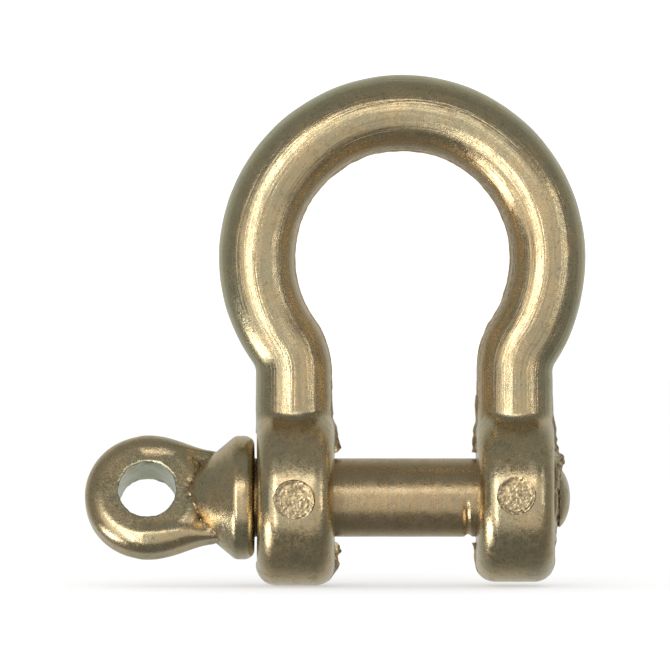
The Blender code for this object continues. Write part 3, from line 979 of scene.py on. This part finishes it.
def bronze_finish(name, on_pin):
    """Tumbled bronze: golden where it is rubbed, olive brown between, dark in pits and hollows.

    The raw parts are coarse and brown.  The pin adds its turned shank and a painted reflection in its
    eye's hole, and the bow the streaks along its rod, a painted reflection inside and a greener outside.
    """
    f = Finish(name)
    raw = f.stored("raw")
    clouds = f.noise(620.0, detail=4.0, roughness=0.6, distortion=0.4)
    specks = f.noise(2300.0, detail=2.0, roughness=0.6)
    grain = f.noise(4200.0, detail=3.0, roughness=0.7)
    colour = bronze_colour(f, raw, clouds, specks)
    roughness = f.span(clouds, 0.35, 0.7, 0.19, 0.30)
    roughness = f.maths("ADD", roughness, f.span(grain, 0.3, 0.7, -0.06, 0.08))
    roughness = f.maths("ADD", roughness, f.maths("MULTIPLY", raw, 0.12))
    normal = f.bump(clouds, 0.5, 0.05)
    if on_pin:
        colour, roughness = turned_lines_and_bore_reflection(f, colour, roughness)
    else:
        colour, roughness, normal = rod_streaks_and_painted_reflections(f, colour, roughness, normal)
    normal = f.bump(specks, f.span(raw, 0.0, 1.0, 0.5, 1.0), 0.035, normal)
    normal = f.bump(grain, 0.6, 0.022, normal)
    f.put(f.shader.inputs["Base Color"], colour)
    f.put(f.shader.inputs["Roughness"], roughness)
    f.put(f.shader.inputs["Normal"], normal)
    f.shader.inputs["Metallic"].default_value = 1.0
    return f.material


# The studio, in metres

LAMP_COLOUR = (1.0, 0.97, 0.93)
# each lamp's name, azimuth, elevation, distance, width, height and brightness
LAMPS = (
    ("front_panel", 5, -9, 1.0, 2.3, 1.4, 0.46),
    ("key_softbox", -21, -6, 0.9, 0.12, 1.0, 6.4),
    ("left_panel", -44, -2, 0.9, 0.42, 0.8, 0.6),
    ("top_band", -8, 23, 0.9, 0.9, 0.2, 1.8),
    ("side_softbox", -72, -36, 0.9, 0.48, 0.34, 5.0),
    ("right_strip", 55, 6, 0.9, 0.06, 0.6, 4.2),
)
CAMERA_DISTANCE = 0.8
VIEW_WIDTH = 0.08546
CAMERA_LEFT = 0.0002
CAMERA_DOWN = 0.0006


def add_floor(half_side=4.0, drop=0.0001):
    """A wide pale floor just under the ears."""
    mesh = bpy.data.meshes.new("studio_floor")
    z = BOW_LOW[2] * MM - drop
    corners = [(x * half_side, y * half_side, z) for x, y in ((-1, -1), (1, -1), (1, 1), (-1, 1))]
    mesh.from_pydata(corners, [], [(0, 1, 2, 3)])
    floor = bpy.data.objects.new("studio_floor", mesh)
    bpy.context.scene.collection.objects.link(floor)
    f = Finish("pale_floor")
    shade = f.mix(f.noise(3.0), (0.44, 0.44, 0.44), (0.46, 0.46, 0.46))
    f.put(f.shader.inputs["Base Color"], shade)
    f.shader.inputs["Emission Color"].default_value = (1.0, 1.0, 1.0, 1.0)
    f.shader.inputs["Emission Strength"].default_value = 0.46
    f.shader.inputs["Roughness"].default_value = 1.0
    f.shader.inputs["Specular IOR Level"].default_value = 0.0
    mesh.materials.append(f.material)
    floor.visible_glossy = False
    floor.visible_shadow = False


def direction_ramp(nodes, links, component, from_min, from_max, to_min, to_max):
    """A brightness that eases from one value to another as a direction's component grows."""
    ramp = nodes.new("ShaderNodeMapRange")
    ramp.interpolation_type = "SMOOTHSTEP"
    links.new(component, ramp.inputs["Value"])
    ramp.inputs["From Min"].default_value = from_min
    ramp.inputs["From Max"].default_value = from_max
    ramp.inputs["To Min"].default_value = to_min
    ramp.inputs["To Max"].default_value = to_max
    return ramp.outputs["Result"]


def add_surroundings():
    """White for the eye and the floor; for the metal, a dim room, paler behind and above."""
    world = bpy.data.worlds.new("studio")
    bpy.context.scene.world = world
    world.use_nodes = True
    nodes, links = world.node_tree.nodes, world.node_tree.links
    white = nodes.new("ShaderNodeBackground")
    white.inputs["Color"].default_value = (1.0, 1.0, 1.0, 1.0)
    white.inputs["Strength"].default_value = 1.22
    direction = nodes.new("ShaderNodeTexCoord")
    split = nodes.new("ShaderNodeSeparateXYZ")
    links.new(direction.outputs["Generated"], split.inputs[0])
    behind = direction_ramp(nodes, links, split.outputs["Y"], 0.1, 0.9, 0.0, 0.40)
    above = direction_ramp(nodes, links, split.outputs["Z"], -0.9, 0.3, 0.17, 0.27)
    total = nodes.new("ShaderNodeMath")
    links.new(behind, total.inputs[0])
    links.new(above, total.inputs[1])
    room = nodes["Background"]
    room.inputs["Color"].default_value = (0.97, 1.0, 0.98, 1.0)
    links.new(total.outputs[0], room.inputs["Strength"])
    path = nodes.new("ShaderNodeLightPath")
    mix = nodes.new("ShaderNodeMixShader")
    links.new(path.outputs["Is Glossy Ray"], mix.inputs[0])
    links.new(white.outputs[0], mix.inputs[1])
    links.new(room.outputs[0], mix.inputs[2])
    links.new(mix.outputs[0], nodes["World Output"].inputs[0])


def add_softbox(name, azimuth, elevation, distance, width, height, radiance):
    """A soft light of a given brightness that stands off in a direction and faces the shackle.

    Azimuth is to the right of the viewer's own direction, in degrees, and a lamp of area A shows
    that brightness when its power is pi times A times the brightness.
    """
    centre = (cad_box[0] + cad_box[1]) / 2
    across, up = np.radians(azimuth), np.radians(elevation)
    way = Vector((np.sin(across) * np.cos(up), -np.cos(across) * np.cos(up), np.sin(up)))
    data = bpy.data.lights.new(name, "AREA")
    data.shape = "RECTANGLE"
    data.size, data.size_y = width, height
    data.energy = np.pi * width * height * radiance
    data.color = LAMP_COLOUR
    lamp = bpy.data.objects.new(name, data)
    lamp.location = centre + way * distance
    lamp.rotation_mode = "QUATERNION"
    lamp.rotation_quaternion = way.to_track_quat("Z", "Y")
    bpy.context.scene.collection.objects.link(lamp)


def add_lights():
    """The studio's lamps, each a softbox."""
    for name, *sizes in LAMPS:
        add_softbox(name, *sizes)


def add_camera():
    """A long lens, level and square to the shackle's front."""
    centre = (cad_box[0] + cad_box[1]) / 2
    data = bpy.data.cameras.new("camera")
    data.sensor_width = 36.0
    data.lens = data.sensor_width * CAMERA_DISTANCE / VIEW_WIDTH
    camera = bpy.data.objects.new("camera", data)
    camera.location = centre + Vector((-CAMERA_LEFT, -CAMERA_DISTANCE, -CAMERA_DOWN))
    camera.rotation_euler = (np.pi / 2, 0, 0)
    bpy.context.scene.collection.objects.link(camera)
    bpy.context.scene.camera = camera


def main():
    """The shackle and its studio."""
    bpy.context.scene.view_settings.view_transform = "Standard"
    make_bow(bronze_finish("bow_bronze", on_pin=False))
    make_pin(bronze_finish("pin_bronze", on_pin=True))
    add_floor()
    add_surroundings()
    add_lights()
    add_camera()


main()
